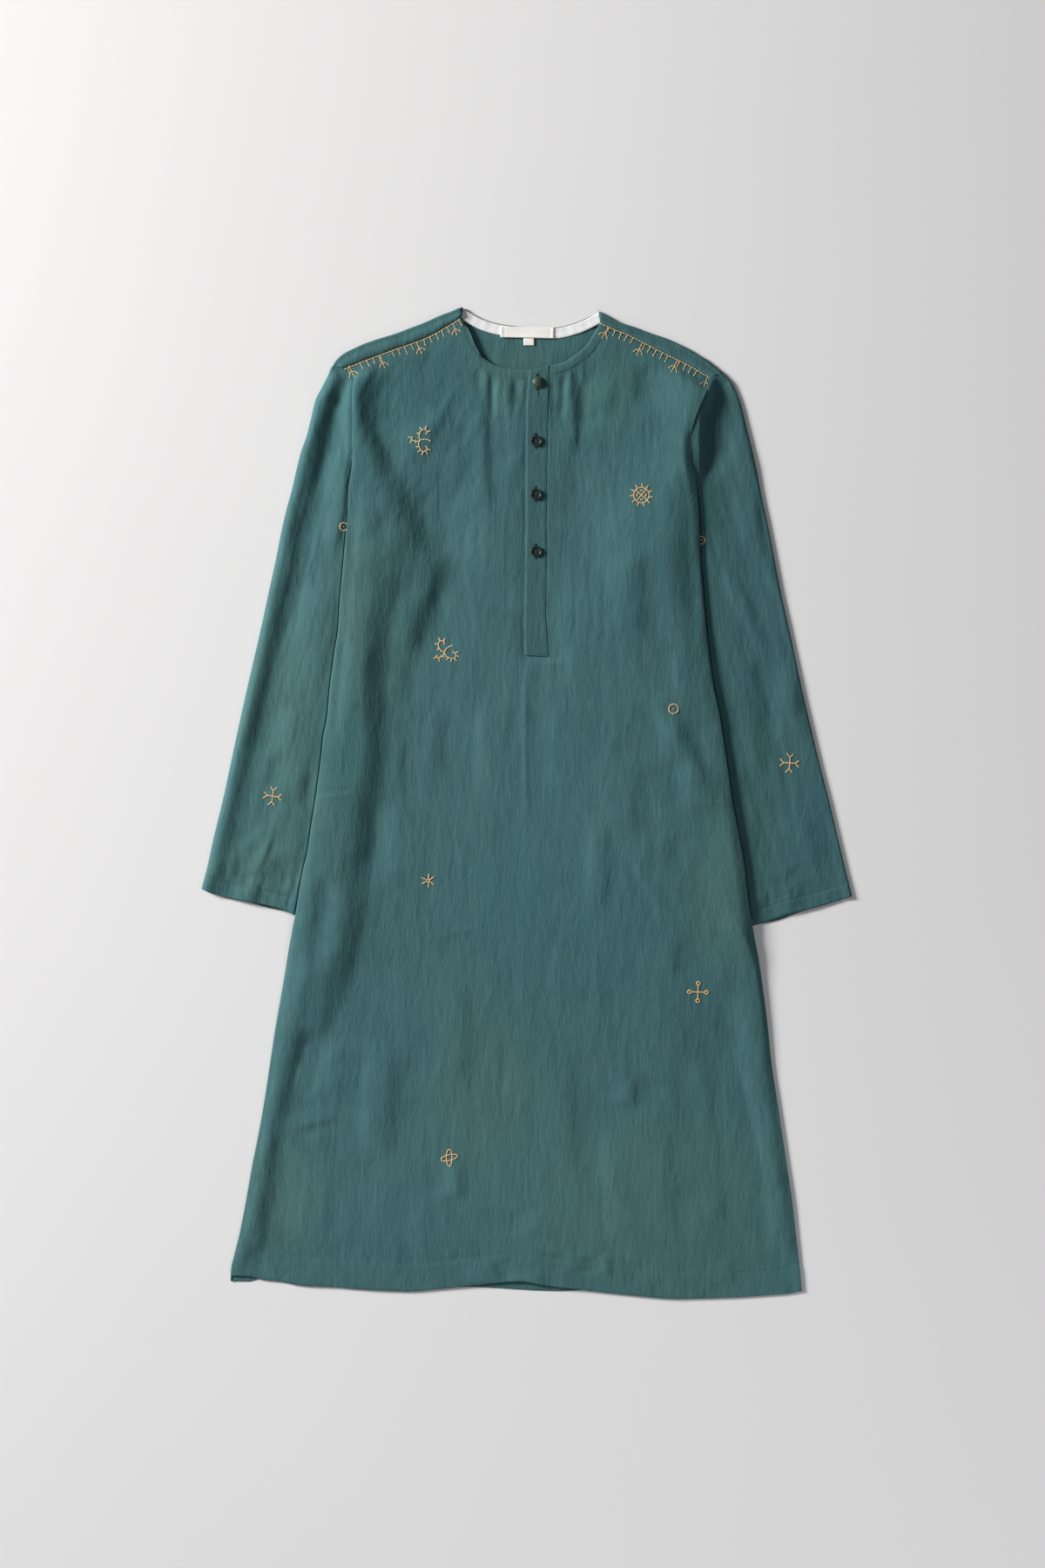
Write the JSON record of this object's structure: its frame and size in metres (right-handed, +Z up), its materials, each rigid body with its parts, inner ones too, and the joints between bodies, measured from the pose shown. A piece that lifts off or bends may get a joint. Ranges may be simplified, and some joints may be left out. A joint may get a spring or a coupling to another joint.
{
  "type": "kurta tunic",
  "caption": "Long A-line kurta tunic laid flat, with set-in long sleeves at its sides, a round collarless neck, a buttoned half placket and a back that wraps forward over the shoulders.",
  "frame": {"origin": "on the table under the middle of the garment's bounding box", "axes": "+Z up from the table through the cloth layers, +Y from the hem towards the neck, +X to the right of someone looking down at the front with the neck away from them"},
  "size_m": [0.6876, 1.048, 0.0107],
  "materials": {
    "kurta_cloth": "soft matt plant-dyed silk-cotton, teal with bluer and greener clouds and a faint sheen",
    "neck_tape": "plain white woven tape",
    "label_cloth": "blank cream woven label",
    "top_button": "dull olive domed button",
    "button": "satin near-black four-hole button"
  },
  "bodies": {
    "root": {"front": "kurta_cloth", "back": "kurta_cloth", "sleeve_left": "kurta_cloth", "sleeve_right": "kurta_cloth", "placket_upper_band": "kurta_cloth", "placket_under_band": "kurta_cloth", "back_neck_tape": "neck_tape", "label": "label_cloth", "size_label": "label_cloth", "button_1": "top_button", "button_2": "button", "button_3": "button", "button_4": "button"}
  },
  "joints": []
}
